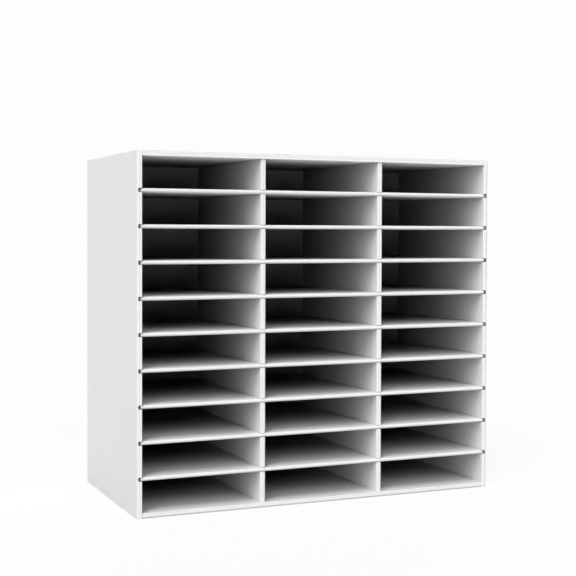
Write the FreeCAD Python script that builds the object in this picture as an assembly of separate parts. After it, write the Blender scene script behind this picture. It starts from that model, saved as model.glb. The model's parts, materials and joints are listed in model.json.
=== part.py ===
"""A mail organizer of folded corrugated board: three columns of ten open slots.

Millimetres. +Z is up, the slots open towards -Y, and +X is to the right of someone
who stands in front. The origin is on the floor, under the middle of the case.

Every wall of the case is a sheet folded back on itself at its front edge, with a
third ply between its two walls. The shelves are one sheet folded at the front.
Shelves and dividers cross in half laps: a divider is notched from the front, and a
shelf is slotted from the rear, so a shelf slides in and out from the front.
"""
import FreeCAD, Part
import math
import os

# Overall sizes of the case
outer_width = 735.0
outer_depth = 350.0
outer_height = 660.0

# How many slots there are each way
column_count = 3
row_count = 10

# The board: one ply, the glue line between plies, and the air inside a folded shelf
board = 3.2
glue_line = 0.2
shelf_air = 0.5

# The folds: the round outer corner of a case wall, whose inner crease is pressed
# sharp, and the two corners of a divider's front edge
fold_radius = 4.6
divider_fold_radius = 2.4

# Clearances: a shelf in its notches, its slot over a divider, its ears before the
# side panels' outer walls, its ends beside the side panels, its rear edge before the
# back, and the two blind ends of a half lap
notch_clearance = 0.3
slot_clearance = 0.4
ear_clearance = 4.3
shelf_end_clearance = 0.5
shelf_rear_clearance = 0.8
lap_clearance = 1.0

# How far back the front edges of shelves and dividers stand from the front of the case
shelf_setback = 2.0
divider_setback = 2.5

# The half lap and its ears, as a share of the depth inside the case
lap_share = 0.5

# Tabs of the top and bottom panels, which show as squares on the side panels
corner_tab_width = 38.0
corner_tab_shares = (0.19, 0.765)
tab_clearance = 0.3

# Tabs of the divider cores, in the top, the bottom and the back
divider_tab_width = 40.0
divider_tab_depth_shares = (0.25, 0.75)
divider_tab_height_shares = (0.15, 0.5, 0.85)

# A cut that leaves a piece runs past it by this much
overrun = 5.0

# What follows from the sizes above
ply_step = board + glue_line
wall = ply_step + ply_step + board
shelf_thickness = board + shelf_air + board
shelf_count = row_count - 1
slot_height = (outer_height - wall - wall - shelf_count * shelf_thickness) / row_count
row_pitch = slot_height + shelf_thickness
column_pitch = outer_width / column_count
left = -outer_width / 2
right = outer_width / 2
front = -outer_depth / 2
rear = outer_depth / 2
back_face = rear - board
inner_rear = back_face - glue_line
shelf_rear = back_face - shelf_rear_clearance
lap_depth = lap_share * (shelf_rear - front)
lap_line = front + lap_depth
notch_end = lap_line + lap_clearance / 2
slot_start = lap_line - lap_clearance / 2


def block(x_low, x_high, y_low, y_high, z_low, z_high):
    """A box between two corners."""
    corner = FreeCAD.Vector(x_low, y_low, z_low)
    return Part.makeBox(x_high - x_low, y_high - y_low, z_high - z_low, corner)


def bent_strip(corners, radii):
    """A closed wire through corner points, each rounded by its own radius."""
    edges = []
    starts = []
    ends = []
    count = len(corners)
    for index, here in enumerate(corners):
        radius = radii[index]
        if radius == 0:
            starts.append(here)
            ends.append(here)
            continue
        back = (corners[index - 1] - here).normalize()
        ahead = (corners[(index + 1) % count] - here).normalize()
        half_angle = back.getAngle(ahead) / 2
        reach = radius / math.tan(half_angle)
        middle = (back + ahead).normalize()
        arc_middle = here + middle * (radius / math.sin(half_angle) - radius)
        starts.append(here + back * reach)
        ends.append(here + ahead * reach)
        edges.append(Part.Arc(starts[-1], arc_middle, ends[-1]).toShape())
    for index in range(count):
        run_start = ends[index]
        run_end = starts[(index + 1) % count]
        if run_start.distanceToPoint(run_end) > 0:
            edges.append(Part.LineSegment(run_start, run_end).toShape())
    return Part.Wire(Part.__sortEdges__(edges))


def folded_face(place, thickness, outer_end, inner_end, outer_radius, inner_radius):
    """The section of a sheet folded back on itself at a = 0, as a face.

    place(a, b) puts a point of the section where it belongs. a runs back from the
    fold and b runs through the wall, from its outer face at b = 0 to its inner face
    at b = thickness. The outer wall ends at a = outer_end, the inner at inner_end.
    """
    far = thickness - board
    outline = [
        (0, 0), (outer_end, 0), (outer_end, board), (board, board),
        (board, far), (inner_end, far), (inner_end, thickness), (0, thickness),
    ]
    radii = [outer_radius, 0, 0, 0, 0, 0, 0, inner_radius]
    corners = [place(a, b) for a, b in outline]
    return Part.Face(bent_strip(corners, radii))


def upright_fold(x_outer, x_sign, y_front, z_low, z_high, *section):
    """A folded wall that stands: a runs to +Y, b along X."""
    def place(a, b):
        return FreeCAD.Vector(x_outer + x_sign * b, y_front + a, z_low)
    face = folded_face(place, *section)
    return face.extrude(FreeCAD.Vector(0, 0, z_high - z_low))


def level_fold(z_outer, z_sign, y_front, x_low, x_high, *section):
    """A folded panel that lies level: a runs to +Y, b along Z."""
    def place(a, b):
        return FreeCAD.Vector(x_low, y_front + a, z_outer + z_sign * b)
    face = folded_face(place, *section)
    return face.extrude(FreeCAD.Vector(x_high - x_low, 0, 0))


def corner_tab_spans():
    """Where the tabs of the top and bottom panels lie along the depth."""
    centres = [front + share * outer_depth for share in corner_tab_shares]
    half = corner_tab_width / 2
    return [(centre - half, centre + half) for centre in centres]


def divider_tab_spans():
    """Where the divider cores' tabs lie along the depth, at top and bottom."""
    depth = inner_rear - front
    half = divider_tab_width / 2
    centres = [front + share * depth for share in divider_tab_depth_shares]
    return [(centre - half, centre + half) for centre in centres]


def rear_tab_spans():
    """Where the divider cores' rear tabs lie along the height.

    Each is moved to the middle of the slot that its share of the height falls in.
    """
    spans = []
    half = divider_tab_width / 2
    for share in divider_tab_height_shares:
        row = min(int(share * row_count), shelf_count)
        centre = wall + row * row_pitch + slot_height / 2
        spans.append((centre - half, centre + half))
    return spans


def divider_centres():
    """The dividers' middles, at even shares of the outer width."""
    return [left + column_pitch * index for index in range(1, column_count)]


def shelf_levels():
    """The underside of each shelf, from the lowest to the highest."""
    return [wall + slot_height + row_pitch * index for index in range(shelf_count)]


def notch_cuts(x_low, x_high, y_low):
    """Blocks that open a wall from the front where each shelf passes."""
    return [
        block(x_low, x_high, y_low, notch_end, level - notch_clearance,
              level + shelf_thickness + notch_clearance)
        for level in shelf_levels()
    ]


def corner_tab_cuts(x_low, x_high):
    """Blocks that open a side panel at top and bottom for the corner tabs."""
    cuts = []
    for y_low, y_high in corner_tab_spans():
        low = y_low - tab_clearance
        high = y_high + tab_clearance
        top_floor = outer_height - wall - tab_clearance
        bottom_roof = wall + tab_clearance
        cuts.append(block(x_low, x_high, low, high, top_floor, outer_height + overrun))
        cuts.append(block(x_low, x_high, low, high, -overrun, bottom_roof))
    return cuts


def cut_all(solid, cuts):
    """Take every cut out of a solid and drop the seams that are left."""
    return solid.cut(Part.makeCompound(cuts)).removeSplitter()


def side_panel(side):
    """A side panel: one sheet folded at the front, notched for shelves and tabs."""
    x_outer = left if side < 0 else right
    solid = upright_fold(
        x_outer, -side, front, 0, outer_height,
        wall, outer_depth, inner_rear - front, fold_radius, 0)
    x_inside = x_outer - side * board
    x_beyond = x_outer - side * (wall + overrun)
    low = min(x_inside, x_beyond)
    high = max(x_inside, x_beyond)
    cuts = notch_cuts(low, high, front - overrun)
    cuts += corner_tab_cuts(left - overrun, right + overrun)
    return cut_all(solid, cuts)


def side_core(side):
    """The ply between a side panel's two walls."""
    x_outer = left if side < 0 else right
    x_near = x_outer - side * ply_step
    x_far = x_near - side * board
    low = min(x_near, x_far)
    high = max(x_near, x_far)
    solid = block(low, high, front + ply_step, inner_rear, 0, outer_height)
    cuts = notch_cuts(low - overrun, high + overrun, front - overrun)
    cuts += corner_tab_cuts(low - overrun, high + overrun)
    return cut_all(solid, cuts)


def tabbed_ends(y_low, y_high, z_low, z_high):
    """Blocks that leave only the corner tabs beyond the side panels' inner faces."""
    cuts = []
    edges = [y_low - overrun]
    for tab_low, tab_high in corner_tab_spans():
        edges += [tab_low, tab_high]
    edges.append(y_high + overrun)
    for start, end in zip(edges[::2], edges[1::2]):
        cuts.append(block(left - overrun, left + wall + glue_line, start, end,
                          z_low - overrun, z_high + overrun))
        cuts.append(block(right - wall - glue_line, right + overrun, start, end,
                          z_low - overrun, z_high + overrun))
    return cuts


def divider_tab_slots(z_low, z_high):
    """Slots in a level wall for the divider cores' tabs."""
    half = board / 2 + tab_clearance
    slots = []
    for centre in divider_centres():
        for y_low, y_high in divider_tab_spans():
            slots.append(block(centre - half, centre + half, y_low - tab_clearance,
                               y_high + tab_clearance, z_low, z_high))
    return slots


def level_panel(level):
    """The top or bottom panel: folded at the front, with two tabs at each end."""
    z_outer = outer_height if level > 0 else 0
    solid = level_fold(
        z_outer, -level, front, left, right,
        wall, outer_depth, inner_rear - front, fold_radius, 0)
    z_inner = z_outer - level * wall
    z_inner_ply = z_inner + level * board
    z_past = z_inner - level * overrun
    z_low = min(z_inner_ply, z_past)
    z_high = max(z_inner_ply, z_past)
    cuts = tabbed_ends(front, rear, min(z_outer, z_inner), max(z_outer, z_inner))
    cuts += divider_tab_slots(z_low, z_high)
    return cut_all(solid, cuts)


def level_core(level):
    """The ply inside the top or bottom panel, with the same end tabs."""
    z_outer = outer_height if level > 0 else 0
    z_near = z_outer - level * ply_step
    z_far = z_near - level * board
    low = min(z_near, z_far)
    high = max(z_near, z_far)
    solid = block(left, right, front + ply_step, inner_rear, low, high)
    return cut_all(solid, tabbed_ends(front, rear, low, high))


def back_panel():
    """One ply, set in the rebate that the case's outer walls leave at the rear."""
    solid = block(left + ply_step, right - ply_step, back_face, rear,
                  ply_step, outer_height - ply_step)
    half = board / 2 + tab_clearance
    cuts = []
    for centre in divider_centres():
        for z_low, z_high in rear_tab_spans():
            cuts.append(block(centre - half, centre + half, back_face - overrun,
                              rear + overrun, z_low - tab_clearance,
                              z_high + tab_clearance))
    return cut_all(solid, cuts)


def divider_sheet(centre):
    """A divider: one sheet folded at the front, notched for the shelves."""
    y_front = front + divider_setback
    length = inner_rear - y_front
    solid = upright_fold(
        centre - wall / 2, 1, y_front, wall + glue_line,
        outer_height - wall - glue_line,
        wall, length, length, divider_fold_radius, divider_fold_radius)
    cuts = notch_cuts(centre - wall, centre + wall, front - overrun)
    return cut_all(solid, cuts)


def divider_core(centre):
    """The ply inside a divider, with tabs for the top, the bottom and the back."""
    low = centre - board / 2
    high = centre + board / 2
    z_low = wall + glue_line
    z_high = outer_height - wall - glue_line
    y_front = front + divider_setback + ply_step
    solid = block(low, high, y_front, inner_rear, z_low, z_high)
    tabs = []
    for y_low, y_high in divider_tab_spans():
        tabs.append(block(low, high, y_low, y_high, wall - board, z_low))
        tabs.append(block(low, high, y_low, y_high, z_high,
                          outer_height - wall + board))
    for tab_low, tab_high in rear_tab_spans():
        tabs.append(block(low, high, inner_rear, rear, tab_low, tab_high))
    solid = solid.fuse(tabs)
    cuts = notch_cuts(centre - wall, centre + wall, front - overrun)
    return cut_all(solid, cuts)


def shelf(level):
    """A shelf: one sheet folded at the front, slotted at the rear, with ears.

    The ears are its two ends in front of the lap line, which lie in the side
    panels' notches. Behind them the shelf just fits between the side panels.
    """
    half = shelf_thickness / 2
    y_front = front + shelf_setback
    depth = shelf_rear - y_front
    x_ear_left = left + board + ear_clearance
    x_ear_right = right - board - ear_clearance
    solid = level_fold(
        level, 1, y_front, x_ear_left, x_ear_right,
        shelf_thickness, depth, depth, half, half)
    x_left = left + wall + shelf_end_clearance
    x_right = right - wall - shelf_end_clearance
    z_low = level - overrun
    z_high = level + shelf_thickness + overrun
    cuts = [
        block(left, x_left, slot_start, rear, z_low, z_high),
        block(x_right, right, slot_start, rear, z_low, z_high),
    ]
    slot_half = wall / 2 + slot_clearance
    for centre in divider_centres():
        cuts.append(block(centre - slot_half, centre + slot_half, slot_start, rear,
                          z_low, z_high))
    return cut_all(solid, cuts)


def all_pieces():
    """Every piece by its node's name."""
    pieces = {
        "left_side_panel": side_panel(-1),
        "left_side_core": side_core(-1),
        "right_side_panel": side_panel(1),
        "right_side_core": side_core(1),
        "top_panel": level_panel(1),
        "top_core": level_core(1),
        "bottom_panel": level_panel(-1),
        "bottom_core": level_core(-1),
        "back_panel": back_panel(),
    }
    for number, centre in enumerate(divider_centres(), start=1):
        pieces[f"divider_{number}"] = divider_sheet(centre)
        pieces[f"divider_{number}_core"] = divider_core(centre)
    for number, level in enumerate(shelf_levels(), start=1):
        pieces[f"shelf_{number}"] = shelf(level)
    return pieces


os.makedirs("parts", exist_ok=True)
for name, piece in all_pieces().items():
    print(name, "solids", len(piece.Solids), "valid", piece.isValid(),
          "volume", round(piece.Volume / 1000, 1), "cm3")
    piece.exportStep(f"parts/{name}.step")
print("slot height", round(slot_height, 2), "row pitch", round(row_pitch, 2),
      "lap depth", round(lap_depth, 2), "lap line", round(lap_line, 2))
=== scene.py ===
# %% [markdown]
# # A mail organizer of folded corrugated board
#
# The real thing is cut from white corrugated sheets. Each wall of its case is one
# sheet folded back on itself at the front, with a third ply inside. Two dividers
# stand in the case, and nine shelves slide into notches that are cut half way through
# the walls. That makes three columns of ten slots, with no glue or screw to be seen.
#
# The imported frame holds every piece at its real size, as plain solids. Their outlines
# are right, but board shows what it is at its edges: a fold is round, and a cut edge
# shows the waved paper inside. So this lesson builds each piece again as board, two
# paper liners with a waved sheet between them.

# %% Load the frame and keep its box
import json
import math

import bmesh
import bpy
import numpy as np
from mathutils import Matrix, Vector


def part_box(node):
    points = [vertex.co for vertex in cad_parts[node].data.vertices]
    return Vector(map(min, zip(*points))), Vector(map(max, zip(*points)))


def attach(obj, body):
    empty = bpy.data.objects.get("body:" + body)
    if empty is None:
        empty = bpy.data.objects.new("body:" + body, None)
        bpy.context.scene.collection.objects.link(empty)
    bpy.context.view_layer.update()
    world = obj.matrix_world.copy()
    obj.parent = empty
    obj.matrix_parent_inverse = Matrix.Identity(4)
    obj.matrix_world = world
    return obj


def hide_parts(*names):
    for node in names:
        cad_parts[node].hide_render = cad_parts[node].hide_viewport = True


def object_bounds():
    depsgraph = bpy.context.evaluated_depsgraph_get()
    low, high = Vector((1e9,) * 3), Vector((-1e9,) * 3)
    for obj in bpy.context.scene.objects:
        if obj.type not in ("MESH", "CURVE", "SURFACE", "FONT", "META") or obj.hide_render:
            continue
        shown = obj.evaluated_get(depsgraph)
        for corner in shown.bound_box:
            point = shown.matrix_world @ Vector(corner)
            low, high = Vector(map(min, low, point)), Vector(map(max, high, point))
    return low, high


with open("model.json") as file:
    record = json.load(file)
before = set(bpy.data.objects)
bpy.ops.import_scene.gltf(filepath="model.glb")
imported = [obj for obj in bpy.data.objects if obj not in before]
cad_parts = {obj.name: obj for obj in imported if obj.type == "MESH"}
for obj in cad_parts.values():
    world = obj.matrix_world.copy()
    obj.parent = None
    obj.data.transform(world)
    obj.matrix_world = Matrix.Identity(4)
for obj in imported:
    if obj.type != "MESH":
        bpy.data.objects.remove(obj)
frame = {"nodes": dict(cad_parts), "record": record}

cad_low, cad_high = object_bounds()

# %% [markdown]
# ## Sizes
#
# Blender works in metres here and board is measured in millimetres, so mm is a unit
# to multiply by. The sizes could be typed in again, but then they could drift from
# the model, so they are read from the boxes of the frame's nodes.

# %% The case and its board
mm = 0.001


def box_size(node):
    """The three sizes of a node's box at rest: its highest corner less its lowest."""
    low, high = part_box(node)
    return high - low


def in_mm(*lengths):
    """Lengths in metres as text in millimetres, to print."""
    return " x ".join(f"{length / mm:.1f}" for length in lengths) + " mm"


left, front, floor_level = cad_low
right, rear, top_level = cad_high
outer_width = right - left
outer_depth = rear - front
board = box_size("back_panel").y
wall = box_size("top_panel").z
glue_line = (wall - 3 * board) / 2
ply_step = board + glue_line
inner_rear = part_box("left_side_core")[1].y
print("the case is", in_mm(outer_width, outer_depth, top_level - floor_level))
print("board is", in_mm(board), "and a wall of three plies", in_mm(wall))

# %% [markdown]
# The nine shelves are all alike, and so are the two dividers. Only their places
# differ, so one of each is measured for its size and all of them for their places.

# %% The dividers and the shelves
divider_nodes = ["divider_1", "divider_2"]
divider_centres = [sum(corner.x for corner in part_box(node)) / 2 for node in divider_nodes]
divider_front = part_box("divider_1")[0].y
shelf_nodes = sorted(node for node in frame["nodes"] if node.startswith("shelf_"))
shelf_levels = [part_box(node)[0].z for node in shelf_nodes]
shelf_thickness = box_size("shelf_1").z
ear_left, shelf_front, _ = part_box("shelf_1")[0]
ear_right, shelf_rear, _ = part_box("shelf_1")[1]
slot_height = shelf_levels[0] - wall
row_pitch = slot_height + shelf_thickness
print(len(shelf_nodes), "shelves, one every", in_mm(row_pitch))
print("a slot is", in_mm(slot_height), "high")

# %% [markdown]
# ## The cuts
#
# A die cuts notches, slots and tabs in the flat sheets before they are folded. In
# Blender such openings are often cut with a Boolean modifier, but with hundreds of
# them in thin folded sheets that is slow and can leave ragged edges. Here a cut is a
# block in space. A patch of board is left out where its middle lies in a block, and
# the mesh has a line along each side of every block, so the edges come out straight.

# %% A cut is a block
overrun = 5.0 * mm
below = floor_level - overrun
above = top_level + overrun
x_axis, y_axis, z_axis = range(3)


def block(x_low, x_high, y_low, y_high, z_low, z_high):
    """A cut, as its lowest and highest corner."""
    return np.array([[x_low, y_low, z_low], [x_high, y_high, z_high]])


def edges_along(cuts, axis):
    """The cuts' edges along one axis."""
    return [corner[axis] for cut in cuts for corner in cut]


print("a cut runs", in_mm(overrun), "past the board, so that nothing is left of it")

# %% [markdown]
# A shelf crosses each upright wall in a half lap, as the strips of an egg crate do.
# The wall is notched from the front to half its depth, and the shelf is slotted from
# behind over the other half. Each opening is a little wider than the board that it
# takes, because board is never quite flat.

# %% Notches in the walls and slots in the shelves
lap_share = 0.5
lap_clearance = 1.0 * mm
notch_clearance = 0.3 * mm
slot_clearance = 0.4 * mm
shelf_end_clearance = 0.5 * mm
lap_line = front + lap_share * (shelf_rear - front)
notch_end = lap_line + lap_clearance / 2
slot_start = lap_line - lap_clearance / 2


def notch_cuts(x_low, x_high):
    """Openings from the front, one for each shelf."""
    return [
        block(x_low, x_high, front - overrun, notch_end,
              z_low - notch_clearance, z_low + shelf_thickness + notch_clearance)
        for z_low in shelf_levels
    ]


def shelf_cuts():
    """A shelf's slots over the dividers, and the strips behind its ears."""
    half = wall / 2 + slot_clearance
    end = wall + shelf_end_clearance
    taken = [(left, left + end), (right - end, right)]
    taken += [(centre - half, centre + half) for centre in divider_centres]
    return [block(x_low, x_high, slot_start, rear, below, above) for x_low, x_high in taken]


print(len(notch_cuts(left, right)), "notches in a wall,", in_mm(notch_end - front), "deep")
print(len(shelf_cuts()), "openings in a shelf,", in_mm(shelf_rear - slot_start), "deep")

# %% [markdown]
# The top and bottom panels reach out over the sides with tabs, which lie in openings
# in the side panels' ends. Their ends show as small squares along the top edge of the
# side. Where there is no tab, the level panel ends at the side's inner face.

# %% The corner tabs
corner_tab_width = 38.0 * mm
corner_tab_shares = (0.19, 0.765)


def spans(centres, width):
    """A low and a high end round each centre, half the width away on each side."""
    return [(centre - width / 2, centre + width / 2) for centre in centres]


def between_tabs(tabs, low, high):
    """The stretches of low to high that lie before, between and after the tabs."""
    edges = [low, *[edge for tab in tabs for edge in tab], high]
    return list(zip(edges[::2], edges[1::2]))


corner_tabs = spans(
    [front + share * outer_depth for share in corner_tab_shares], corner_tab_width)
for low, high in corner_tabs:
    print("a corner tab from", in_mm(low - front), "to", in_mm(high - front), "of the depth")

# %% [markdown]
# A tab and its opening are cut from the same numbers. Only the clearance stands
# between them, so they still fit each other when a tab is moved or made wider.

# %% The openings that take the corner tabs
tab_clearance = 0.3 * mm


def corner_tab_cuts(x_low, x_high):
    """Openings at the top and bottom edge, for the tabs of the level panels."""
    reach = wall + tab_clearance
    cuts = []
    for low, high in corner_tabs:
        span = (x_low, x_high, low - tab_clearance, high + tab_clearance)
        cuts.append(block(*span, top_level - reach, above))
        cuts.append(block(*span, below, floor_level + reach))
    return cuts


def end_cuts():
    """What a level panel loses beyond the side panels' inner faces, but for its tabs."""
    reach = wall + glue_line
    cuts = []
    for y_low, y_high in between_tabs(corner_tabs, front - overrun, rear + overrun):
        cuts.append(block(left - overrun, left + reach, y_low, y_high, below, above))
        cuts.append(block(right - reach, right + overrun, y_low, y_high, below, above))
    return cuts


print("a side panel has", len(corner_tab_cuts(left, right)), "openings for tabs")
print("a level panel loses", len(end_cuts()), "stretches at its ends")

# %% [markdown]
# The dividers have to stand upright before a shelf is in. A common way in board, and
# the one used here, is to let the middle ply end in tabs that go through slots in
# the floor, the roof and the back. The photograph doesn't show these places.

# %% Divider tabs and their slots
divider_tab_width = 40.0 * mm
divider_tab_depth_shares = (0.25, 0.75)
divider_tab_height_shares = (0.15, 0.5, 0.85)
divider_tabs = spans(
    [front + share * (inner_rear - front) for share in divider_tab_depth_shares],
    divider_tab_width)
rear_tab_rows = [int(share * (len(shelf_levels) + 1)) for share in divider_tab_height_shares]
rear_tabs = spans(
    [wall + row * row_pitch + slot_height / 2 for row in rear_tab_rows], divider_tab_width)
half_slot = board / 2 + tab_clearance


def divider_tab_slots(z_low, z_high):
    """Slots in a level panel's inner wall, for the dividers' tabs."""
    return [
        block(centre - half_slot, centre + half_slot, y_low - tab_clearance,
              y_high + tab_clearance, z_low, z_high)
        for centre in divider_centres for y_low, y_high in divider_tabs
    ]


def rear_slots():
    """Slots in the back, for the dividers' rear tabs."""
    return [
        block(centre - half_slot, centre + half_slot, inner_rear - overrun, rear + overrun,
              z_low - tab_clearance, z_high + tab_clearance)
        for centre in divider_centres for z_low, z_high in rear_tabs
    ]


print(len(rear_slots()), "slots in the back,", in_mm(2 * half_slot), "wide")

# %% [markdown]
# ## Sections
#
# A folded sheet keeps one section all along its fold, so it is a profile carried along
# a straight path. A curve with a bevel would do that too, but not with openings in
# it. So the surface is worked out as a grid of points with two parameters, one round
# the profile and one along the path, and openings are patches left out of the grid.

# %% Lines that pass through every cut's edge
patch_size = 45 * mm
same_place_digits = 7


def grid_lines(low, high, breaks, step):
    """Positions from low to high that pass through every break, at most step apart.

    Breaks that differ by less than a tenth of a micrometre count as one.
    """
    inside = [value for value in breaks if low < value < high]
    knots = np.unique(np.round([low, *inside, high], same_place_digits))
    pieces = [
        np.linspace(start, end, max(math.ceil((end - start) / step), 1), endpoint=False)
        for start, end in zip(knots[:-1], knots[1:])
    ]
    return np.concatenate([*pieces, [high]])


print("lines from 0 to 100 with a cut at 30:", np.round(grid_lines(0, 100, [30], 45)))

# %% [markdown]
# The front of a wall isn't a square edge. The sheet turns round a soft fold, crosses
# the front as a narrow strip, and turns again round a tighter crease. Beside a fold
# the liners lie closer together for about a centimetre, and the strip sinks in a
# little between its two scores. A Bevel modifier could round the edges, but it knows
# nothing of the sheet, so here both sides of the sheet are drawn round the fold.

# %% Quarter turns, and the walls beside them
quarter_steps = 7
score_lines = np.array([1, 2, 3.5, 6, 10]) * mm
settled = score_lines[-1]


def quarter(centre_a, centre_b, radius, start, end):
    """A quarter circle: centre + radius (cos, sin) as the angle goes start to end."""
    turn = np.linspace(start, end, quarter_steps + 1)
    return np.stack([centre_a + radius * np.cos(turn), centre_b + radius * np.sin(turn)], 1)


def leg(radius, end, breaks):
    """Positions along a wall, from the end of its fold to the rear."""
    return grid_lines(radius, end, [*breaks, *(radius + score_lines)], patch_size)


def settle(positions, radius, corner):
    """A leg's positions on the sheet's inner side.

    They start at corner instead of radius, and are the same as outside once the fold
    is settled.
    """
    end = positions.max()
    return np.interp(positions, [radius, radius + settled, end], [corner, radius + settled, end])


print("a quarter turn takes", quarter_steps, "steps, and is settled after", in_mm(settled))

# %% [markdown]
# With these, one line of a folded sheet is a walk of five parts: forward along the
# outer wall, a quarter turn, across the front, a quarter turn, and back along the
# inner wall. The sheet's two sides make the same walk, one board apart, so they are
# one function with an inset.

# %% One walk round the fold
strip_dent = 0.35 * mm
to_outside, to_front, to_inside = 1.5 * math.pi, math.pi, 0.5 * math.pi


def walk_round(inset, corner_a, corner_b, come, go, thickness, strip):
    """One line of a folded sheet, the given inset from its outside, in five parts.

    The line comes forward along b = inset, turns a quarter circle of radius corner_a
    less inset, crosses the front, turns another quarter circle, and goes back along
    b = thickness - inset. The front sinks in by strip_dent times sin^2 of the way
    across it.
    """
    width = thickness - corner_a - corner_b
    dent = strip_dent * np.sin(math.pi * strip) ** 2
    return [
        np.stack([come, np.full_like(come, inset)], 1)[:-1],
        quarter(corner_a, corner_a, corner_a - inset, to_outside, to_front),
        np.stack([inset + dent, corner_a + width * strip], 1),
        quarter(corner_b, thickness - corner_b, corner_b - inset, to_front, to_inside),
        np.stack([go, np.full_like(go, thickness - inset)], 1)[1:],
    ]


print("the front strip sinks in by", f"{strip_dent / mm:.2f} mm", "in its middle")

# %% [markdown]
# A section is then four arrays: the outer line, the inner line, the wall that each
# point is on, and how near it is to the fold. That nearness is full on the round fold
# and dies away beside it, and the finish paints a shade there by it.

# %% The section of a folded sheet
strip_steps = 6
tight_radius = 0.25 * mm


def folded_section(thickness, outer_end, inner_end, outer_radius, inner_radius, breaks):
    """A sheet folded back on itself at a = 0, with b from 0 to its thickness.

    The walls are 0 for the outer wall and the front, and 1 for the inner wall. The
    nearness to the fold, the mask of a painted shade on the folds, is
    exp(-(distance past the fold / second score)^2). Where the two folds
    meet in a full round, there is no strip, and one of the two middle points goes.
    """
    come = leg(outer_radius, outer_end, breaks)[::-1]
    go = leg(inner_radius, inner_end, breaks)
    corner_a = board + max(outer_radius - board, tight_radius)
    corner_b = board + max(inner_radius - board, tight_radius)
    strip = np.linspace(0, 1, strip_steps + 1)[1:-1]
    full_round = thickness - outer_radius - inner_radius < tight_radius
    if full_round:
        strip = strip[:0]
    outer = walk_round(0, outer_radius, inner_radius, come, go, thickness, strip)
    come_in = settle(come, outer_radius, corner_a)
    go_in = settle(go, inner_radius, corner_b)
    inner = walk_round(board, corner_a, corner_b, come_in, go_in, thickness, strip)
    if full_round:
        outer[3] = outer[3][1:]
        inner[3] = inner[3][1:]
    wall_of = np.concatenate([np.full(len(part), k > 3) for k, part in enumerate(outer)])
    # Mask of the painted shade on the outer fold: 1 on the round fold, dying away beside it.
    near_fold = np.zeros(len(wall_of))
    past_fold = (come - outer_radius)[:-1]
    near_fold[:len(past_fold)] = np.exp(-((past_fold / score_lines[1]) ** 2))
    near_fold[len(past_fold):len(past_fold) + quarter_steps] = 1
    return np.concatenate(outer), np.concatenate(inner), wall_of.astype(int), near_fold


test_section = folded_section(wall, outer_depth, outer_depth, 2 * board, board, [])
print("a folded section without cuts has", len(test_section[0]), "points a line")

# %% [markdown]
# The core plies and the back aren't folded. Their section is two straight lines, so
# the same code can carry it, and they need no case of their own further on.

# %% The section of a flat sheet


def flat_section(a_low, a_high, breaks):
    """A flat sheet: outer line b = 0, inner line b = board, from a_low to a_high."""
    run = grid_lines(a_low, a_high, breaks, patch_size)
    outer = np.stack([run, np.zeros_like(run)], 1)
    inner = np.stack([run, np.full_like(run, board)], 1)
    return outer, inner, np.zeros(len(run), int), np.zeros(len(run))


print("a flat section without cuts has", len(flat_section(0, outer_depth, [])[0]), "points a line")

# %% [markdown]
# ## Board
#
# One ply is a liner, a waved medium and a liner. A plain slab with a picture of
# flutes on its edge would be lighter, but it looks false from near by, so the sheets
# are real ones. Each is a slab between two grids of points. A patch of the grid is
# kept or cut, and wherever a kept patch meets a cut one, a narrow face closes the
# slab, so that every mesh is closed.

# %% From two grids of points to a closed slab


def slab(near, far, keep):
    """Faces of the slab between two grids of points, and whether each is an edge.

    near and far are (n, m, 3) arrays of points, and keep says which of the (n - 1,
    m - 1) patches stay. The patches give two faces each. An edge face stands where
    keep changes between a patch and its neighbour, or at the grid's rim.
    """
    n, m = near.shape[:2]
    index = np.arange(n * m).reshape(n, m)
    corner = [index[:-1, :-1], index[1:, :-1], index[1:, 1:], index[:-1, 1:]]
    patch = np.stack([part[keep] for part in corner], 1)
    under = patch[:, ::-1] + n * m
    padded = np.pad(keep, 1).astype(int)
    rim_a = np.diff(padded[:, 1:-1], axis=0)
    rim_b = np.diff(padded[1:-1, :], axis=1)
    walls = []
    for change, order in ((1, 1), (-1, -1)):
        row, column = np.nonzero(rim_a == change)
        ends = np.stack([index[row, column], index[row, column + 1]], 1)[:, ::order]
        walls.append(np.concatenate([ends, ends[:, ::-1] + n * m], 1))
        row, column = np.nonzero(rim_b == change)
        ends = np.stack([index[row + 1, column], index[row, column]], 1)[:, ::order]
        walls.append(np.concatenate([ends, ends[:, ::-1] + n * m], 1))
    faces = np.concatenate([patch, under, *walls])
    is_edge = np.arange(len(faces)) >= 2 * len(patch)
    points = np.concatenate([near.reshape(-1, 3), far.reshape(-1, 3)])
    return points, faces, is_edge


test_faces = slab(np.zeros((3, 3, 3)), np.ones((3, 3, 3)), np.eye(2) > 0)[1]
print("two patches that touch at a corner make", len(test_faces), "faces")

# %% [markdown]
# A place function says where in space a point of the section goes. Carrying the
# section is then one call for the whole grid. Which patches stay is asked of their
# middles, all at once, so the number of cuts hardly counts.

# %% Carry a section along its flutes, and leave the cuts out


def between(outer, inner, share):
    """Points the given share of the way from outer to inner: outer + share (inner - outer)."""
    share = np.reshape(share, (-1, 1))
    return outer + (inner - outer) * share


def carry(line, along, place):
    """Carry a section line along a path: place(a, b, t) for every point and every t."""
    a = line[:, :1]
    b = line[:, 1:]
    return place(a, b, along[None, :])


def middles(grid):
    """The middle of each patch of a grid: the mean of its four corners."""
    return (grid[:-1, :-1] + grid[1:, :-1] + grid[1:, 1:] + grid[:-1, 1:]) / 4


def inside_any(points, cuts, margin=(0, 0, 0)):
    """Whether each point lies in a cut block that is grown by a margin on each axis."""
    found = np.zeros(points.shape[:-1], bool)
    for low, high in cuts:
        found |= np.all((points > low - margin) & (points < high + margin), axis=-1)
    return found


def kept_patches(section, along, cuts, place):
    """Which patches of a sheet stay: those whose middle lies in no cut."""
    centre_line = between(section[0], section[1], 0.5)
    return ~inside_any(middles(carry(centre_line, along, place)), cuts)


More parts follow.
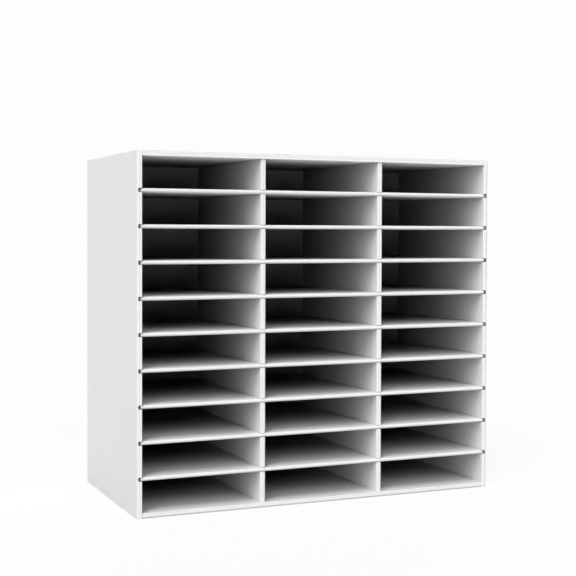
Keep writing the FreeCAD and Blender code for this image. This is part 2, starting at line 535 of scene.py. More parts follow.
print("half way from 2 to 6 is", between(np.array([[2.0]]), np.array([[6.0]]), 0.5)[0, 0])

# %% [markdown]
# Every paper in a sheet is a layer of it, from one share of the thickness to another.
# The liners are the first and the last part of it, the medium is a thin layer that
# goes up and down, and a pressed end is all that lies between the liners. So one
# function makes the mesh of all three.
#
# The liners are the layers that are seen. Their faces get one of four finishes by
# where they are: the outer wall, the inner wall, the side that is turned inwards, and
# the cut edge. The thickness of each paper is about that of common white board.

# %% Layers, and the two liners
liner = 0.45 * mm
outer_face, inner_face, hidden_face, cut_face = range(4)


def layer(section, near_share, far_share, along, keep, place):
    """The slab from one share of a sheet's thickness to another, over the kept patches."""
    outer, inner = section[:2]
    near = carry(between(outer, inner, near_share), along, place)
    far = carry(between(outer, inner, far_share), along, place)
    return slab(near, far, keep)


def liners(section, along, keep, place):
    """Both liners of a sheet, as (points, faces, finish, stretch) parts.

    The first fills the sheet's thickness from its outer line to one liner in, and the
    second from one liner short of its inner line to that line.
    """
    wall_of, near_fold = section[2:]
    paper_share = liner / board
    parts = []
    for near_share, far_share in ((0, paper_share), (1 - paper_share, 1)):
        points, faces, is_edge = layer(section, near_share, far_share, along, keep, place)
        finish = np.full(len(faces), hidden_face)
        fold = np.zeros(len(points))
        if near_share == 0:
            patch_wall = np.broadcast_to(wall_of[1:, None], keep.shape)[keep]
            finish[:len(patch_wall)] = np.where(patch_wall == 0, outer_face, inner_face)
            # The outer liner carries the fold mask, by which the finish paints a shade on the
            # fold.
            fold[:len(near_fold) * len(along)] = np.repeat(near_fold, len(along))
        finish[is_edge] = cut_face
        parts.append((points, faces, finish, fold))
    return parts


print("a liner takes", f"{liner / board:.0%}", "of the board on each side")

# %% [markdown]
# The medium is a sine wave that follows the section, so it goes round the folds with
# the liners. Nobody can see into the middle of a sheet, so it is made only as far in
# from an edge as the eye can reach, which keeps the meshes small.

# %% Where the wave is drawn
flute_pitch = 6.4 * mm
points_per_flute = 8
least_step_share = 0.25
rim_reach = 10 * mm
cut_reach = 3.2 * mm


def wave_stations(length):
    """Lengths at which the wave is drawn: the section's own points and eight a flute.

    One that lies within least_step_share of a step of the one before is left out.
    """
    step = flute_pitch / points_per_flute
    stations = np.unique(
        np.round([*length, *np.arange(0, length[-1], step)], same_place_digits))
    far_enough = np.diff(stations) > least_step_share * step
    stations = stations[np.concatenate([[True], far_enough])]
    stations[-1] = length[-1]
    return stations


def near_an_edge(stations, along, centre, cuts, place, reach):
    """Whether each patch can be seen from a cut edge.

    It lies within reach of an end of the flutes, rim_reach of the sheet's other edges,
    or cut_reach of a cut, measured in the sheet's own plane.
    """
    through = np.abs(place(0, 1, 0) - place(0, 0, 0))
    near = inside_any(centre, cuts, cut_reach * (through < 0.5))
    middle = (stations[:-1] + stations[1:]) / 2
    near |= (np.minimum(middle, stations[-1] - middle) < rim_reach)[:, None]
    middle = (along[:-1] + along[1:]) / 2
    near |= np.minimum(middle - along[0], along[-1] - middle) < reach
    return near


print("the wave is made", in_mm(rim_reach), "in from a rim and", in_mm(cut_reach), "from a cut")

# %% [markdown]
# The thickness of the medium is measured across the sheet, as a share of the board,
# so at a fold the wave bends with the board and never breaks through a liner.

# %% The waved paper between the liners
medium_paper = 0.28 * mm


def medium(section, extent, along_breaks, cuts, place, reach):
    """The waved paper of a sheet.

    At a length s along the section it lies at the share 1/2 + swing sin(2 pi s / pitch)
    of the board's thickness.
    """
    outer, inner = section[:2]
    low, high = extent
    steps = np.linalg.norm(np.diff(between(outer, inner, 0.5), axis=0), axis=1)
    length = np.concatenate([[0], np.cumsum(steps)])
    s = wave_stations(length)
    outer = np.stack([np.interp(s, length, outer[:, k]) for k in (0, 1)], 1)
    inner = np.stack([np.interp(s, length, inner[:, k]) for k in (0, 1)], 1)
    bands = [edge + side * cut_reach for edge in along_breaks for side in (-1, 1)]
    t = grid_lines(low, high, [*along_breaks, *bands, low + reach, high - reach], patch_size)
    centre = middles(carry(between(outer, inner, 0.5), t, place))
    keep = near_an_edge(s, t, centre, cuts, place, reach) & ~inside_any(centre, cuts)
    half_paper = medium_paper / board / 2
    swing = 0.5 - liner / board - half_paper
    wave = 0.5 + swing * np.sin(2 * math.pi * s / flute_pitch)
    points, faces, _ = layer((outer, inner), wave - half_paper, wave + half_paper, t, keep, place)
    return points, faces, np.full(len(faces), cut_face), np.zeros(len(points))


swing_room = board - 2 * liner - medium_paper
print("a flute is", in_mm(flute_pitch), "long and", in_mm(swing_room), "from crest to trough")

# %% [markdown]
# Where the die cuts across the flutes of the top and bottom, it presses the board
# shut, so the ends of their tabs look solid, and in the photograph they are the
# whitest spots of the side. There the space between the liners is filled, flush with
# their edges, instead of leaving a row of dark holes.

# %% An end that the die pressed shut


def pressed_end(section, end, along_breaks, cuts, place):
    """A plain slab that fills the sheet from liner to liner, over one end's stretch."""
    along = grid_lines(*end, along_breaks, patch_size)
    keep = kept_patches(section, along, cuts, place)
    points, faces, _ = layer(section, liner / board, 1 - liner / board, along, keep, place)
    return points, faces, np.full(len(faces), cut_face), np.zeros(len(points))


print("a pressed end is solid for", in_mm(rim_reach))

# %% [markdown]
# The arrays become one mesh in a few calls: foreach_set copies a whole array at once,
# where a loop over vertices would take minutes. Then the faces are turned to point
# outwards, and edges sharper than 30 degrees stay sharp, so that folds shade as
# round and cuts as flat. The fold mask goes along as an attribute, and a finish paints a shade by
# it.

# %% From arrays to one mesh object
sharp_angle = math.radians(30)
corners_per_face = 4


def turn_outwards(mesh):
    """Turn every face of a closed mesh to point out of its board."""
    turned = bmesh.new()
    turned.from_mesh(mesh)
    bmesh.ops.recalc_face_normals(turned, faces=turned.faces)
    turned.to_mesh(mesh)
    turned.free()


def join_parts(name, parts, finishes):
    """One mesh object from several (points, faces, finish, stretch) parts."""
    offsets = np.cumsum([0] + [len(part[0]) for part in parts])
    points, finish, fold = (np.concatenate([part[k] for part in parts]) for k in (0, 2, 3))
    faces = np.concatenate([part[1] + shift for part, shift in zip(parts, offsets)])
    used, compact = np.unique(faces, return_inverse=True)
    mesh = bpy.data.meshes.new(name)
    mesh.vertices.add(len(used))
    mesh.vertices.foreach_set("co", points[used].astype(np.float32).ravel())
    mesh.loops.add(faces.size)
    mesh.loops.foreach_set("vertex_index", compact.astype(np.int32).ravel())
    mesh.polygons.add(len(faces))
    first_corners = np.arange(0, faces.size, corners_per_face, dtype=np.int32)
    mesh.polygons.foreach_set("loop_start", first_corners)
    mesh.polygons.foreach_set("material_index", finish.astype(np.int32))
    mesh.update(calc_edges=True)
    mesh.validate()
    turn_outwards(mesh)
    mesh.set_sharp_from_angle(angle=sharp_angle)
    # The fold mask, by which the finishes paint a shade on the folds.
    at_fold = mesh.attributes.new("fold", "FLOAT", "POINT")
    at_fold.data.foreach_set("value", fold[used].astype(np.float32))
    for material in finishes:
        mesh.materials.append(material)
    piece = bpy.data.objects.new(name, mesh)
    bpy.context.scene.collection.objects.link(piece)
    return piece


print("edges sharper than", round(math.degrees(sharp_angle)), "degrees stay sharp")

# %% [markdown]
# Now a sheet is a short recipe: find the lines that its mesh needs, leave the cuts
# out, make the liners and the wave, fill pressed ends, and join it all. The parts of
# a ply touch but aren't welded, as real papers are glued, and each is closed.

# %% The whole sheet: liners, medium and pressed ends


def board_mesh(name, section, extent, flute_axis, cuts, place, finishes, crushed=False):
    """One sheet of board as a mesh object.

    extent is the sheet's reach along its flutes, and flute_axis the axis they follow.
    finishes lists the materials of the outer wall, the inner wall, the sheet's inside
    and its cut edges. crushed says that the die pressed the ends shut.
    """
    low, high = extent
    along_breaks = edges_along(cuts, flute_axis)
    along = grid_lines(low, high, along_breaks, patch_size)
    keep = kept_patches(section, along, cuts, place)
    parts = liners(section, along, keep, place)
    if crushed:
        for end in ((low, low + rim_reach), (high - rim_reach, high)):
            parts.append(pressed_end(section, end, along_breaks, cuts, place))
        between_ends = (low + rim_reach, high - rim_reach)
        parts.append(medium(section, between_ends, along_breaks, cuts, place, 0))
    else:
        parts.append(medium(section, extent, along_breaks, cuts, place, rim_reach))
    return join_parts(name, parts, finishes)


print(f"papers of {liner / mm:.2f} and {medium_paper / mm:.2f} mm make", in_mm(board), "of board")

# %% [markdown]
# ## Finishes
#
# The outside of the board is a white coated liner. A single flat white would look
# like plastic, because paper is never quite even. Its effects are shared by all the
# finishes of this object, so each is made once as a node group with named sockets,
# and a finish says how strong it wants each one. The helpers below keep the building
# of node trees readable.

# %% Helpers for node trees
NUMBER, VECTOR = "NodeSocketFloat", "NodeSocketVector"


def new_group(name, inputs, outputs):
    """A shader node group with named sockets, given as label to kind."""
    group = bpy.data.node_groups.new(name, "ShaderNodeTree")
    for direction, sockets in (("INPUT", inputs), ("OUTPUT", outputs)):
        for label, kind in sockets.items():
            group.interface.new_socket(label, in_out=direction, socket_type=kind)
    print("node group", name, "takes", list(inputs), "and gives", list(outputs))
    return group, group.nodes.new("NodeGroupInput"), group.nodes.new("NodeGroupOutput")


def feed(tree, socket, value):
    """Link a socket to another one, or set it to a number or colour."""
    if isinstance(value, bpy.types.NodeSocket):
        tree.links.new(value, socket)
    else:
        socket.default_value = value


def calculate(tree, operation, *values):
    """A Math node whose inputs are sockets or numbers; returns its output socket."""
    node = tree.nodes.new("ShaderNodeMath")
    node.operation = operation
    for socket, value in zip(node.inputs, values):
        feed(tree, socket, value)
    return node.outputs[0]


print("a group's sockets are of the kinds", NUMBER, "and", VECTOR)

# %% [markdown]
# Paper has a cloudy formation, a few centimetres wide with finer specks in it, and a
# fine felt of fibres. Both are two sizes of noise added together. The noise reads the
# object's own coordinates in metres, so its size is the real one on every piece.

# %% Paper: clouds and fibres
cloud_size, speck_size = 30 * mm, 1.1 * mm
fibre_size, fuzz_size = 0.8 * mm, 0.2 * mm
large_part = 0.7


def noise(tree, vector, size, detail, roughness):
    """A 3-D noise with features of about the given size; returns its value socket."""
    node = tree.nodes.new("ShaderNodeTexNoise")
    node.inputs["Scale"].default_value = 1 / size
    node.inputs["Detail"].default_value = detail
    node.inputs["Roughness"].default_value = roughness
    tree.links.new(vector, node.inputs["Vector"])
    return node.outputs["Fac"]


def add_noises(tree, large, small):
    """large_part times the large noise, and the rest times the small one."""
    first = calculate(tree, "MULTIPLY", large, large_part)
    second = calculate(tree, "MULTIPLY", small, 1 - large_part)
    return calculate(tree, "ADD", first, second)


def paper_group():
    """Paper: a cloudy formation, and the height of its fibres."""
    group, source, target = new_group(
        "paper", {"Place": VECTOR}, {"Cloud": NUMBER, "Fibre": NUMBER})
    place = source.outputs["Place"]
    cloud = add_noises(group, noise(group, place, cloud_size, detail=3, roughness=0.6),
                       noise(group, place, speck_size, detail=2, roughness=0.6))
    fibre = add_noises(group, noise(group, place, fibre_size, detail=2, roughness=0.6),
                       noise(group, place, fuzz_size, detail=1, roughness=0.5))
    feed(group, target.inputs["Cloud"], cloud)
    feed(group, target.inputs["Fibre"], fibre)
    return group


paper = paper_group()

# %% [markdown]
# On large flat faces the flutes show through the liner as faint lines. A wave across
# the flutes makes them, and a slow noise lets them come and go, because a regular
# pattern all over would look printed.

# %% Flute lines
line_patch_size = 110 * mm


def flute_lines_group():
    """Flute lines: sin(2 pi across / pitch) times a slow noise over the sheet."""
    group, source, target = new_group(
        "flute_lines", {"Across": NUMBER, "Place": VECTOR}, {"Line": NUMBER})
    turn = calculate(group, "MULTIPLY", source.outputs["Across"], 2 * math.pi / flute_pitch)
    wave = calculate(group, "SINE", turn)
    strength = noise(group, source.outputs["Place"], line_patch_size, detail=2, roughness=0.5)
    feed(group, target.inputs["Line"], calculate(group, "MULTIPLY", wave, strength))
    return group


flute_lines = flute_lines_group()

# %% [markdown]
# The round folds are painted a little greyer, a painted shade for the fold turning
# away from the light, and they are rougher too. An edge mask by angle would also catch
# the cut edges, so the mask is the nearness to the fold that each section stored in
# its mesh, broken up by a noise.

# %% Painted shade on the folds
fold_shade_noise_size = 3 * mm
fold_shade_least, fold_shade_spread = 0.6, 0.8


def painted_fold_shade_group():
    """Painted fold shade: the fold mask times (least + spread times a noise), 1 at the most."""
    group, source, target = new_group(
        "painted_fold_shade", {"Stretch": NUMBER, "Place": VECTOR}, {"Shade": NUMBER})
    broken = noise(group, source.outputs["Place"], fold_shade_noise_size, detail=3, roughness=0.7)
    spread = calculate(group, "MULTIPLY_ADD", broken, fold_shade_spread, fold_shade_least)
    product = calculate(group, "MULTIPLY", source.outputs["Stretch"], spread)
    feed(group, target.inputs["Shade"], calculate(group, "MINIMUM", product, 1.0))
    return group


painted_fold_shade = painted_fold_shade_group()

# %% [markdown]
# A material holds its groups as nodes, feeds them by their sockets' names, and mixes
# their masks into colours. Three small helpers do that, so that the recipe after
# them reads as a list of what the finish is.

# %% Groups and colours in a material
# A Mix node has sockets for every kind of value. For colours they have these numbers.
mix_share, mix_first, mix_second, mix_result = 0, 6, 7, 2


def place_group(tree, group, **values):
    """A node that holds a group, with its inputs fed by name."""
    node = tree.nodes.new("ShaderNodeGroup")
    node.node_tree = group
    for label, value in values.items():
        feed(tree, node.inputs[label], value)
    return node


def blend_colours(tree, share, first, second):
    """A colour the given share of the way from first to second."""
    node = tree.nodes.new("ShaderNodeMix")
    node.data_type = "RGBA"
    for number, value in ((mix_share, share), (mix_first, first), (mix_second, second)):
        feed(tree, node.inputs[number], value)
    return node.outputs[mix_result]


def darker(colour, share):
    """A colour with each channel lowered by a share of itself."""
    return (*[channel * (1 - share) for channel in colour], 1)


print("white lowered by a tenth is", darker((1, 1, 1), 0.1))

# %% [markdown]
# Every finish of this object is paper, so one recipe makes them all. It mixes the
# colour from clouds and the painted shade on the folds, lets both change the roughness
# a little, and puts the flute lines and fibres into one bump. The gloss is low, as
# coated board has a dull sheen and no mirror image.

# %% One recipe for every finish
paper_gloss = 0.1
fold_roughness = 0.15
cloud_roughness = 0.08
fibre_height = 0.05
bump_depth = 1 * mm
bump_strength = 0.6


def board_finish(name, colour, across, rough, cloud, fold_shade, flutes):
    """A paper surface; cloud says how much the clouds darken the colour, and the next argument how
    much the painted shade on the folds does.

    across is the axis that runs over the flutes. flutes is how high they show through
    the liner, as a share of the bump's depth.
    """
    material = bpy.data.materials.new(name)
    material.use_nodes = True
    tree = material.node_tree
    shader = tree.nodes["Principled BSDF"]
    place = tree.nodes.new("ShaderNodeTexCoord").outputs["Object"]
    axes = tree.nodes.new("ShaderNodeSeparateXYZ")
    tree.links.new(place, axes.inputs[0])
    fold_mask_node = tree.nodes.new("ShaderNodeAttribute")
    fold_mask_node.attribute_name = "fold"
    sheet = place_group(tree, paper, Place=place)
    lines = place_group(tree, flute_lines, Across=axes.outputs[across], Place=place)
    folds = place_group(tree, painted_fold_shade, Stretch=fold_mask_node.outputs["Fac"], Place=place)
    tone = blend_colours(tree, sheet.outputs["Cloud"], darker(colour, cloud), darker(colour, 0))
    # Painted shade: the colour darkens on the round folds, where the fold mask is high.
    tone = blend_colours(tree, folds.outputs["Shade"], tone, darker(colour, fold_shade))
    feed(tree, shader.inputs["Base Color"], tone)
    at_fold = calculate(tree, "MULTIPLY_ADD", folds.outputs["Shade"], fold_roughness, rough)
    feed(tree, shader.inputs["Roughness"],
         calculate(tree, "MULTIPLY_ADD", sheet.outputs["Cloud"], cloud_roughness, at_fold))
    shader.inputs["Specular IOR Level"].default_value = paper_gloss
    fibres = calculate(tree, "MULTIPLY", sheet.outputs["Fibre"], fibre_height)
    bump = tree.nodes.new("ShaderNodeBump")
    bump.inputs["Distance"].default_value = bump_depth
    bump.inputs["Strength"].default_value = bump_strength
    feed(tree, bump.inputs["Height"],
         calculate(tree, "MULTIPLY_ADD", lines.outputs["Line"], flutes, fibres))
    feed(tree, shader.inputs["Normal"], bump.outputs["Normal"])
    print("finish", name, "of colour", colour, "with", len(tree.nodes), "nodes")
    return material


print("flutes stand", in_mm(bump_depth), "times their height value out of a finish")

# %% [markdown]
# The case is coated white outside. In the slots the inner walls and shelves are the
# same liner, rougher and a little darker: the darkness is a painted shade. The back's
# inside is greyer still, a painted shade at the end of the slots. Cut edges are uncoated
# paper, which is warmer and rougher, and where it is pressed it is the whitest paper of
# all. The flutes stand upright in the sides, the dividers and the back, and lie level in
# the top, the bottom and the shelves, so the axis across them differs.

# %% The finishes of this organizer
white = (0.87, 0.87, 0.865)
# Painted shade: the colours inside the slots are darker than the outside's white, the back's
# inside most.
slot_shade_white = (0.85, 0.85, 0.84)
back_shade_grey = (0.78, 0.775, 0.76)
cut_paper = (0.93, 0.925, 0.905)
pressed_paper = (0.955, 0.955, 0.95)
plain_paper = (0.84, 0.83, 0.805)
coated_white = board_finish(
    "coated_white", white, across="Y", rough=0.5, cloud=0.05, fold_shade=0.12, flutes=0.03)
coated_back = board_finish(
    "coated_back", white, across="X", rough=0.5, cloud=0.05, fold_shade=0.12, flutes=0.03)
shaded_slot_white = board_finish(
    "shaded_slot_white", slot_shade_white, across="Y", rough=0.6, cloud=0.05, fold_shade=0.06, flutes=0.03)
shaded_back_inside = board_finish(
    "shaded_back_inside", back_shade_grey, across="X", rough=0.7, cloud=0.06, fold_shade=0.0, flutes=0.04)
raw_edge = board_finish(
    "raw_edge", cut_paper, across="Z", rough=0.8, cloud=0.07, fold_shade=0.0, flutes=0.0)
pressed_edge = board_finish(
    "pressed_edge", pressed_paper, across="Y", rough=0.7, cloud=0.03, fold_shade=0.0, flutes=0.0)
raw_ply = board_finish(
    "raw_ply", plain_paper, across="Y", rough=0.75, cloud=0.07, fold_shade=0.0, flutes=0.04)
tab_ply = board_finish(
    "tab_ply", plain_paper, across="Z", rough=0.75, cloud=0.07, fold_shade=0.0, flutes=0.04)

# %% [markdown]
# ## The pieces
#
# Each piece rides on its body of the frame and stands for its node. A place function
# says where a point of a section goes: a is the depth from the piece's front, b the
# distance from its outer face, and t the way along the flutes.

# %% Places and bookkeeping
behaviour = frame["record"]["behaviour"]
body_of_node = {node: body for body, nodes in behaviour["bodies"].items() for node in nodes}


def points_at(x, y, z):
    """Points from three coordinates, each an array or a number: the shapes are joined."""
    return np.stack(np.broadcast_arrays(x, y, z), -1)


def upright_sheet(x_outer, x_sign, y_front):
    """(x, y, z) = (x_outer + x_sign b, y_front + a, t): the flutes stand upright."""
    def place(a, b, t):
        return points_at(x_outer + x_sign * b, y_front + a, t)
    return place


def level_sheet(z_outer, z_sign, y_front):
    """(x, y, z) = (t, y_front + a, z_outer + z_sign b): the flutes run to the sides."""
    def place(a, b, t):
        return points_at(t, y_front + a, z_outer + z_sign * b)
    return place


def depth_breaks(cuts, y_front):
    """The cuts' edges along the depth, measured from the sheet's front."""
    return [edge - y_front for edge in edges_along(cuts, y_axis)]


def enter(piece, node):
    """Put a finished piece in place of its node, and print what it has become."""
    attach(piece, body_of_node[node])
    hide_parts(node)
    print(piece.name, "on", body_of_node[node], "has", len(piece.data.polygons), "faces")


# %% [markdown]
# ### Side panels
#
# A side is one sheet. It starts as the outer wall, turns at the front, and comes back
# as the inner wall, so the front edge is soft and closed. It could be three loose
# plies, but then the front would show three cut edges, which the real one doesn't.
# The notches go through the inner wall and the front strip and stop one board short
# of the outside, because the outer wall is whole.

# %% The side panels
fold_radius = 4.6 * mm
crease_radius = 1.2 * mm
case_finishes = [coated_white, shaded_slot_white, raw_ply, raw_edge]
upright_extent = (floor_level, top_level)


def side_panel(name, side):
    """A side panel: outer wall, round fold, front strip and inner wall in one sheet."""
    x_outer = left if side < 0 else right
    inside = sorted((x_outer - side * board, x_outer - side * (wall + overrun)))
    cuts = notch_cuts(*inside) + corner_tab_cuts(left - overrun, right + overrun)
    section = folded_section(wall, outer_depth, inner_rear - front, fold_radius,
                             crease_radius, depth_breaks(cuts, front))
    piece = board_mesh(f"{name}_board", section, upright_extent, z_axis, cuts,
                       upright_sheet(x_outer, -side, front), case_finishes)
    enter(piece, name)


side_panel("left_side_panel", -1)
side_panel("right_side_panel", 1)

# %% [markdown]
# ### Side cores
#
# The space in the folded wall holds a third ply, which makes the wall stiff. It could
# be left out where it is hidden, but the notches and tab openings cut through it and
# show it, so it is made whole, with the same notches.

# %% The side cores
core_finishes = [raw_ply, raw_ply, raw_ply, raw_edge]


def side_core(name, side):
    """The ply inside a side panel, one ply_step in from its outer face."""
    x_outer = (left if side < 0 else right) - side * ply_step
    cuts = notch_cuts(left - overrun, right + overrun)
    cuts += corner_tab_cuts(left - overrun, right + overrun)
    section = flat_section(ply_step, inner_rear - front, depth_breaks(cuts, front))
    piece = board_mesh(f"{name}_board", section, upright_extent, z_axis, cuts,
                       upright_sheet(x_outer, -side, front), core_finishes)
    enter(piece, name)


side_core("left_side_core", -1)
side_core("right_side_core", 1)

# %% [markdown]
# ### Top and bottom
#
# They are folded as the sides are, but lie level, so the same section is carried from
# left to right. Their ends are cut back between the tabs. The bottom is the top turned
# over, so one function makes both: its sign says which way the thickness goes.

# %% The top and bottom panels
level_extent = (left, right)
pressed_finishes = [coated_white, shaded_slot_white, raw_ply, pressed_edge]


def level_panel(name, up):
    """The top or bottom panel: a folded sheet with two tabs at each end."""
    z_outer = top_level if up > 0 else floor_level
    slots = sorted((z_outer - up * (wall - board), z_outer - up * (wall + overrun)))
    cuts = end_cuts() + divider_tab_slots(*slots)
    section = folded_section(wall, outer_depth, inner_rear - front, fold_radius,
                             crease_radius, depth_breaks(cuts, front))
    piece = board_mesh(f"{name}_board", section, level_extent, x_axis, cuts,
                       level_sheet(z_outer, -up, front), pressed_finishes, crushed=True)
    enter(piece, name)


level_panel("top_panel", 1)
level_panel("bottom_panel", -1)

# %% [markdown]
# Their middle plies have the same tabs, so that a tab is three plies thick, as it is
# where the photograph shows its end.

# %% The top and bottom cores
pressed_core_finishes = [raw_ply, raw_ply, raw_ply, pressed_edge]


def level_core(name, up):
    """The ply inside a level panel, with the same tabs."""
    z_outer = (top_level if up > 0 else floor_level) - up * ply_step
    cuts = end_cuts()
    section = flat_section(ply_step, inner_rear - front, depth_breaks(cuts, front))
    piece = board_mesh(f"{name}_board", section, level_extent, x_axis, cuts,
                       level_sheet(z_outer, -up, front), pressed_core_finishes,
                       crushed=True)
    enter(piece, name)


level_core("top_core", 1)
level_core("bottom_core", -1)

# %% [markdown]
# ### The back
#
# The back is a single ply that stands between the outer walls, behind the ends of the
# inner ones. A plane would do for the front view, where it is only the dark end of the
# slots, but the object is also seen from behind, so it is a sheet with slots for the
# dividers' tabs. Its outer face is the rear one, so its section runs from there.

# %% The back, a single ply with slots for the dividers' tabs


def back_place(a, b, t):
    """(x, y, z) = (left + a, rear - b, t): upright flutes, the outer face to the rear."""
    return points_at(left + a, rear - b, t)


back_cuts = rear_slots()
back_breaks = [edge - left for edge in edges_along(back_cuts, x_axis)]
back_section = flat_section(ply_step, outer_width - ply_step, back_breaks)
back_extent = (floor_level + ply_step, top_level - ply_step)
back_panel = board_mesh("back_panel_board", back_section, back_extent, z_axis, back_cuts,
                        back_place, [coated_back, coated_back, shaded_back_inside, raw_edge])
enter(back_panel, "back_panel")

# %% [markdown]
# ### Dividers
#
# A divider is folded like a side, with the same small radius on both sides, because
# both are seen in the slots. Its notches go right through. So each front edge is a
# row of short posts, and behind them the shelves' slots take over.

# %% The dividers
divider_fold_radius = 2.4 * mm
slot_finishes = [shaded_slot_white, shaded_slot_white, raw_ply, raw_edge]
divider_extent = (wall + glue_line, top_level - wall - glue_line)


def divider(name, centre):
    """A divider: a folded sheet, notched from the front for the shelves."""
    cuts = notch_cuts(left, right)
    length = inner_rear - divider_front
    section = folded_section(wall, length, length, divider_fold_radius,
                             divider_fold_radius, depth_breaks(cuts, divider_front))
    piece = board_mesh(f"{name}_board", section, divider_extent, z_axis, cuts,
                       upright_sheet(centre - wall / 2, 1, divider_front), slot_finishes)
    enter(piece, name)


for node, centre in zip(divider_nodes, divider_centres):
    divider(node, centre)

# %% [markdown]
# The ply inside a divider carries the tabs. It is cut with its flutes running to the
# back, which makes the rear tabs stiff, so here a is the height and t the depth.

# %% The dividers' cores
tab_finishes = [tab_ply, tab_ply, tab_ply, raw_edge]


def tab_ply_cuts(z_low, z_high):
    """A divider ply's notches, and what it loses between its tabs."""
    cuts = notch_cuts(left, right)
    for y_low, y_high in between_tabs(divider_tabs, front - overrun, rear + overrun):
        cuts.append(block(left, right, y_low, y_high, z_low - overrun, divider_extent[0]))
        cuts.append(block(left, right, y_low, y_high, divider_extent[1], z_high + overrun))
    for low, high in between_tabs(rear_tabs, z_low - overrun, z_high + overrun):
        cuts.append(block(left, right, inner_rear, rear + overrun, low, high))
    return cuts


def divider_core(name, centre):
    """The ply inside a divider: (x, y, z) = (centre - board / 2 + b, t, a)."""
    low, high = wall - board, top_level - wall + board
    cuts = tab_ply_cuts(low, high)

    def place(a, b, t):
        return points_at(centre - board / 2 + b, t, a)

    section = flat_section(low, high, edges_along(cuts, z_axis))
    piece = board_mesh(f"{name}_board", section, (divider_front + ply_step, rear), y_axis,
                       cuts, place, tab_finishes)
    enter(piece, name)


for node, centre in zip(divider_nodes, divider_centres):
    divider_core(f"{node}_core", centre)

# %% [markdown]
# ### Shelves
#
# A shelf is one sheet folded in two, so its nose is a full round, half the shelf's
# thickness in radius. Its ends are ears that lie in the side panels' notches and show
# as small dark gaps at the corners of the slots. The shelves slide out, so each is a
# piece of its own on its own body. An Array modifier would make them one piece.

# %% The shelves


def shelf(name, z_low):
    """A shelf: one sheet folded at the front into two plies."""
    cuts = shelf_cuts()
    depth = shelf_rear - shelf_front
    nose = shelf_thickness / 2
    section = folded_section(shelf_thickness, depth, depth, nose, nose,
                             depth_breaks(cuts, shelf_front))
    piece = board_mesh(f"{name}_board", section, (ear_left, ear_right), x_axis, cuts,
                       level_sheet(z_low, 1, shelf_front), slot_finishes)
    enter(piece, name)


for node, z_low in zip(shelf_nodes, shelf_levels):
    shelf(node, z_low)

# %% [markdown]
# ## Camera
#
# The camera stands where the photograph's did, to the left of the middle and a little
# below the top. It could be placed by eye, but every slot's corner is a point of
# known size in the photograph, so its place, turn and focal length were worked out
# from those corners. A focal length in pixels becomes a lens by the sensor's width,
# and a picture centre that isn't in the middle becomes a small shift.

# %% The camera
photo_pixels = 576
focal_pixels = 1183.5
principal_x, principal_y = 262.0, 262.0
camera_place = Vector((-0.9784, -2.0237 + front, 0.5108))
camera_yaw, camera_pitch, camera_roll = 0.3985, -0.0236, 0.0025

sensor_in_mm = 36

camera_data = bpy.data.cameras.new("camera")
camera_data.sensor_width = sensor_in_mm
camera_data.lens = focal_pixels / photo_pixels * sensor_in_mm
camera_data.shift_x = (photo_pixels / 2 - principal_x) / photo_pixels
camera_data.shift_y = (principal_y - photo_pixels / 2) / photo_pixels
camera = bpy.data.objects.new("camera", camera_data)
bpy.context.scene.collection.objects.link(camera)
bpy.context.scene.camera = camera
print("lens", round(camera_data.lens, 1), "mm,", round(camera_place.length, 2), "m away")

# %% [markdown]
# The camera's turn was found as three angles: yaw to the right, pitch upwards and a
# very small roll. A rotation in Euler angles would need the right order of its axes,
# so the three directions of the camera are worked out and become the matrix's columns.

# %% Turn the camera


def camera_turn(yaw, pitch, roll):
    """The camera's axes as columns: to its right, up, and back along its view.

    The view is (sin yaw cos pitch, cos yaw cos pitch, sin pitch). A level camera's
    right and up are then turned by roll about it.
    """
    forward = Vector((math.sin(yaw) * math.cos(pitch), math.cos(yaw) * math.cos(pitch),
                      math.sin(pitch)))
    level_right = Vector((math.cos(yaw), -math.sin(yaw), 0))
    level_up = level_right.cross(forward)
    turned_right = level_right * math.cos(roll) + level_up * math.sin(roll)
    turned_up = level_up * math.cos(roll) - level_right * math.sin(roll)
    return Matrix((turned_right, turned_up, -forward)).transposed()


turned = camera_turn(camera_yaw, camera_pitch, camera_roll)
camera.matrix_world = Matrix.Translation(camera_place) @ turned.to_4x4()
print("turned", round(math.degrees(camera_yaw), 1), "degrees to the right of straight ahead")

# %% [markdown]
# ## Floor
#
# The photograph stands on plain white, with only a soft shadow. A white floor alone
# would show where it ends and the world begins. So the camera sees the floor's own
# light and shadow mixed with a plain white, and light itself still meets a pale
# floor, which throws a little back under the shelves.

# %% The floor
horizon = 12.0
floor_drop = 0.2 * mm
floor_mesh = bpy.data.meshes.new("floor")
floor_mesh.from_pydata(
    [(-horizon, -horizon, 0), (horizon, -horizon, 0), (horizon, horizon, 0),
     (-horizon, horizon, 0)], [], [(0, 1, 2, 3)])
floor = bpy.data.objects.new("floor", floor_mesh)
floor.location.z = floor_level - floor_drop
bpy.context.scene.collection.objects.link(floor)
print("floor", round(2 * horizon), "m wide,", in_mm(floor_drop), "under the organizer")

# %% [markdown]
# The Light Path node says what kind of ray asks for a colour. Rays from the camera,
# and rays that see the floor in a reflection, get the mostly white mix. All others
# are light on its way, and they get the plain floor.

# %% Which rays are seen
seeing_rays = ("Is Camera Ray", "Is Glossy Ray", "Is Transmission Ray")


def seen_rays(tree):
    """1 for rays from the camera, a reflection or a clear pane, and 0 for light's own."""
    path = tree.nodes.new("ShaderNodeLightPath")
    seen = path.outputs[seeing_rays[0]]
    for kind in seeing_rays[1:]:
        seen = calculate(tree, "MAXIMUM", seen, path.outputs[kind])
    return seen


print("a ray sees where it is one of", seeing_rays)

# %% [markdown]
# The floor's own part is a plain rough surface, and the white is an emission. Light on
# its way never meets the emission, so it doesn't brighten the slots, and shows only to
# the camera and in a sheen. The floor's own share is just large enough for a shadow
# as soft and pale as the photograph's.

# %% The floor's finish
floor_white = 1.025
floor_colour = 0.8
floor_share = 0.12


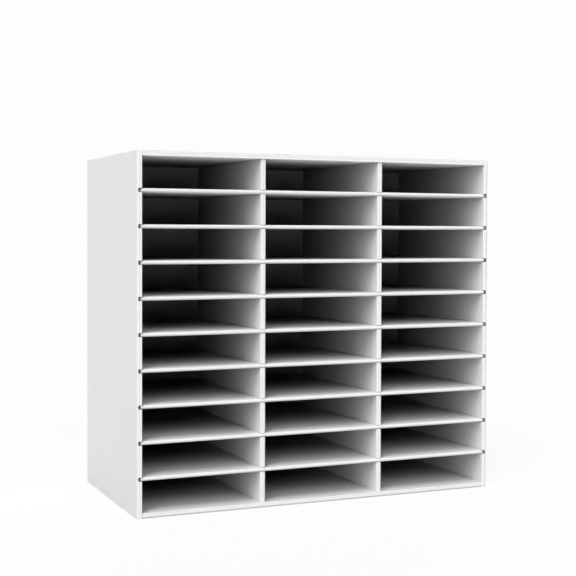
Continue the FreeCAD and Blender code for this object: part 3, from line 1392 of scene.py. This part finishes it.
def floor_finish():
    """A pale floor; the camera sees floor_share of it and the rest as plain white."""
    material = bpy.data.materials.new("floor")
    material.use_nodes = True
    tree = material.node_tree
    shader = tree.nodes["Principled BSDF"]
    shader.inputs["Base Color"].default_value = (floor_colour, floor_colour, floor_colour, 1)
    shader.inputs["Roughness"].default_value = 1.0
    shader.inputs["Specular IOR Level"].default_value = 0.0
    plain = tree.nodes.new("ShaderNodeEmission")
    plain.inputs["Strength"].default_value = floor_white
    mixed = tree.nodes.new("ShaderNodeMixShader")
    feed(tree, mixed.inputs[0], calculate(tree, "MULTIPLY", seen_rays(tree), 1 - floor_share))
    tree.links.new(shader.outputs[0], mixed.inputs[1])
    tree.links.new(plain.outputs[0], mixed.inputs[2])
    tree.links.new(mixed.outputs[0], tree.nodes["Material Output"].inputs[0])
    return material


floor_mesh.materials.append(floor_finish())
print("the camera sees", f"{floor_share:.0%}", "of the floor's own light and shadow")

# %% [markdown]
# ## World and lamps
#
# The world is white to the camera and nearly dark to everything else. A bright world
# would light the slots from every side and wash them out.

# %% The world: white to the camera, and a low light for the rest
paper_white = 0.982
ambient = 0.02
world = bpy.data.worlds.new("world")
bpy.context.scene.world = world
world.use_nodes = True
tree = world.node_tree
background = tree.nodes["Background"]
background.inputs["Color"].default_value = (1, 1, 1, 1)
shown = calculate(tree, "MULTIPLY", seen_rays(tree), paper_white)
feed(tree, background.inputs["Strength"], calculate(tree, "MAXIMUM", shown, ambient))
print("the world shows as", paper_white, "and lights with", ambient)

# %% [markdown]
# The slots are dark mostly because little light reaches them, and a little from the painted shade
# of their colours.
# The photograph was lit by very soft light from the left and from high in front. Area
# lamps near the object would do that too, but they light near pieces more than far
# ones, so these are suns with a wide angle, which light every piece alike. One from
# behind keeps the back readable. It makes no sheen, which from low in front would
# turn the top to plain white. Light bounces once, because with more bounces white
# board fills its own slots with light, and in the photograph their ends are almost
# black.

# %% The lamps
sun_width = math.radians(30)


def soft_sun(name, azimuth, elevation, share, sheen=True):
    """A soft sun; azimuth 0 is in front and grows to the right.

    Its strength is pi times share, so that white paper that faces a share of 1
    renders as white. Without sheen it gives no reflections.
    """
    data = bpy.data.lights.new(name, "SUN")
    data.angle = sun_width
    data.energy = share * math.pi
    lamp = bpy.data.objects.new(name, data)
    turn, rise = math.radians(azimuth), math.radians(elevation)
    towards = Vector((math.sin(turn) * math.cos(rise), -math.cos(turn) * math.cos(rise),
                      math.sin(rise)))
    lamp.rotation_euler = towards.to_track_quat("Z", "Y").to_euler()
    lamp.visible_glossy = sheen
    bpy.context.scene.collection.objects.link(lamp)
    print(name, "at azimuth", azimuth, "elevation", elevation, "share", share)


soft_sun("left_low", -75, 10, 0.17)
soft_sun("left_front", -45, 5, 0.14)
soft_sun("left_middle", -45, 35, 0.25)
soft_sun("key", -45, 60, 0.47)
soft_sun("front", 5, 30, 0.31)
soft_sun("behind", 150, 20, 0.4, sheen=False)

scene = bpy.context.scene
scene.cycles.diffuse_bounces = 1
scene.view_settings.view_transform = "Standard"
print("light bounces", scene.cycles.diffuse_bounces, "time from paper to paper")
